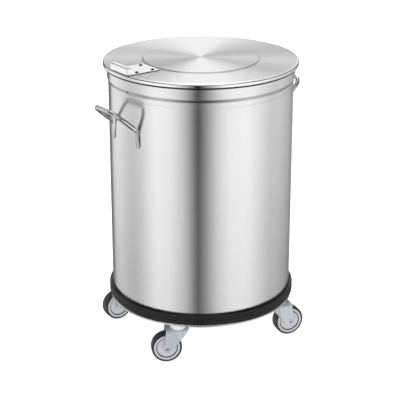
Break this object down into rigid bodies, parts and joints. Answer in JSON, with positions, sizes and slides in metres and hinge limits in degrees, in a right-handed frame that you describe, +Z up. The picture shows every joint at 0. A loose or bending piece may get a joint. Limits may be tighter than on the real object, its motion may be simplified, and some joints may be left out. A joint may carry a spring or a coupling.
{
  "type": "wheeled waste container",
  "caption": "Round stainless drum with a flat lift-off lid, side loop handles and a rubber bumper ring, rolling on swivel castors; holds waste for moving about.",
  "frame": {"origin": "on the floor under the drum's axis", "axes": "+Z up along the drum's axis, handles along X with the lid's hook on the -X side"},
  "size_m": [0.4776, 0.4, 0.6158],
  "materials": {
    "stainless": "satin brushed",
    "lid_stainless": "spun satin",
    "handle_stainless": "polished",
    "rivet_steel": "dark satin",
    "zinc_steel": "zinc plated",
    "bearing_steel": "polished",
    "bumper_rubber": "matt",
    "wheel_plastic": "moulded",
    "tyre_rubber": "matt"
  },
  "bodies": {
    "container": {"container_body": "stainless", "handle_left": "handle_stainless", "handle_right": "handle_stainless", "bumper_ring": "bumper_rubber", "base_plate": "stainless", "castor_1_cup": "zinc_steel", "castor_1_kingpin": "zinc_steel", "castor_1_bolt": "zinc_steel", "castor_1_nut": "zinc_steel", "castor_2_cup": "zinc_steel", "castor_2_kingpin": "zinc_steel", "castor_2_bolt": "zinc_steel", "castor_2_nut": "zinc_steel", "castor_3_cup": "zinc_steel", "castor_3_kingpin": "zinc_steel", "castor_3_bolt": "zinc_steel", "castor_3_nut": "zinc_steel", "castor_4_cup": "zinc_steel", "castor_4_kingpin": "zinc_steel", "castor_4_bolt": "zinc_steel", "castor_4_nut": "zinc_steel"},
    "lid": {"lid": "lid_stainless", "lid_hook": "stainless", "lid_hook_rivet_1": "rivet_steel", "lid_hook_rivet_2": "rivet_steel", "lid_hook_rivet_3": "rivet_steel", "lid_hook_rivet_4": "rivet_steel"},
    "castor_1_swivel": {"castor_1_fork": "zinc_steel", "castor_1_axle": "zinc_steel", "castor_1_sleeve": "zinc_steel", "castor_1_balls": "bearing_steel"},
    "castor_1_roller": {"castor_1_wheel": "wheel_plastic", "castor_1_tyre": "tyre_rubber"},
    "castor_2_swivel": {"castor_2_fork": "zinc_steel", "castor_2_axle": "zinc_steel", "castor_2_sleeve": "zinc_steel", "castor_2_balls": "bearing_steel"},
    "castor_2_roller": {"castor_2_wheel": "wheel_plastic", "castor_2_tyre": "tyre_rubber"},
    "castor_3_swivel": {"castor_3_fork": "zinc_steel", "castor_3_axle": "zinc_steel", "castor_3_sleeve": "zinc_steel", "castor_3_balls": "bearing_steel"},
    "castor_3_roller": {"castor_3_wheel": "wheel_plastic", "castor_3_tyre": "tyre_rubber"},
    "castor_4_swivel": {"castor_4_fork": "zinc_steel", "castor_4_axle": "zinc_steel", "castor_4_sleeve": "zinc_steel", "castor_4_balls": "bearing_steel"},
    "castor_4_roller": {"castor_4_wheel": "wheel_plastic", "castor_4_tyre": "tyre_rubber"}
  },
  "joints": [
    {"name": "lid_lift", "type": "slide", "parent": "container", "child": "lid", "axis": [0, 0, 1], "range_m": [0, 0.3]},
    {"name": "castor_1_swivel", "type": "hinge", "parent": "container", "child": "castor_1_swivel", "pos_m": [-0.13514, -0.10559, 0.0725], "axis": [0, 0, 1], "continuous": true},
    {"name": "castor_1_roll", "type": "hinge", "parent": "castor_1_swivel", "child": "castor_1_roller", "pos_m": [-0.15634, -0.09432, 0.032], "axis": [-0.4695, -0.8829, 0], "continuous": true},
    {"name": "castor_2_swivel", "type": "hinge", "parent": "container", "child": "castor_2_swivel", "pos_m": [0.10559, -0.13514, 0.0725], "axis": [0, 0, 1], "continuous": true},
    {"name": "castor_2_roll", "type": "hinge", "parent": "castor_2_swivel", "child": "castor_2_roller", "pos_m": [0.12877, -0.14136, 0.032], "axis": [0.2588, 0.9659, 0], "continuous": true},
    {"name": "castor_3_swivel", "type": "hinge", "parent": "container", "child": "castor_3_swivel", "pos_m": [0.13514, 0.10559, 0.0725], "axis": [0, 0, 1], "continuous": true},
    {"name": "castor_3_roll", "type": "hinge", "parent": "castor_3_swivel", "child": "castor_3_roller", "pos_m": [0.1577, 0.11379, 0.032], "axis": [-0.342, 0.9397, 0], "continuous": true},
    {"name": "castor_4_swivel", "type": "hinge", "parent": "container", "child": "castor_4_swivel", "pos_m": [-0.10559, 0.13514, 0.0725], "axis": [0, 0, 1], "continuous": true},
    {"name": "castor_4_roll", "type": "hinge", "parent": "castor_4_swivel", "child": "castor_4_roller", "pos_m": [-0.12945, 0.13765, 0.032], "axis": [-0.1045, -0.9945, 0], "continuous": true}
  ]
}
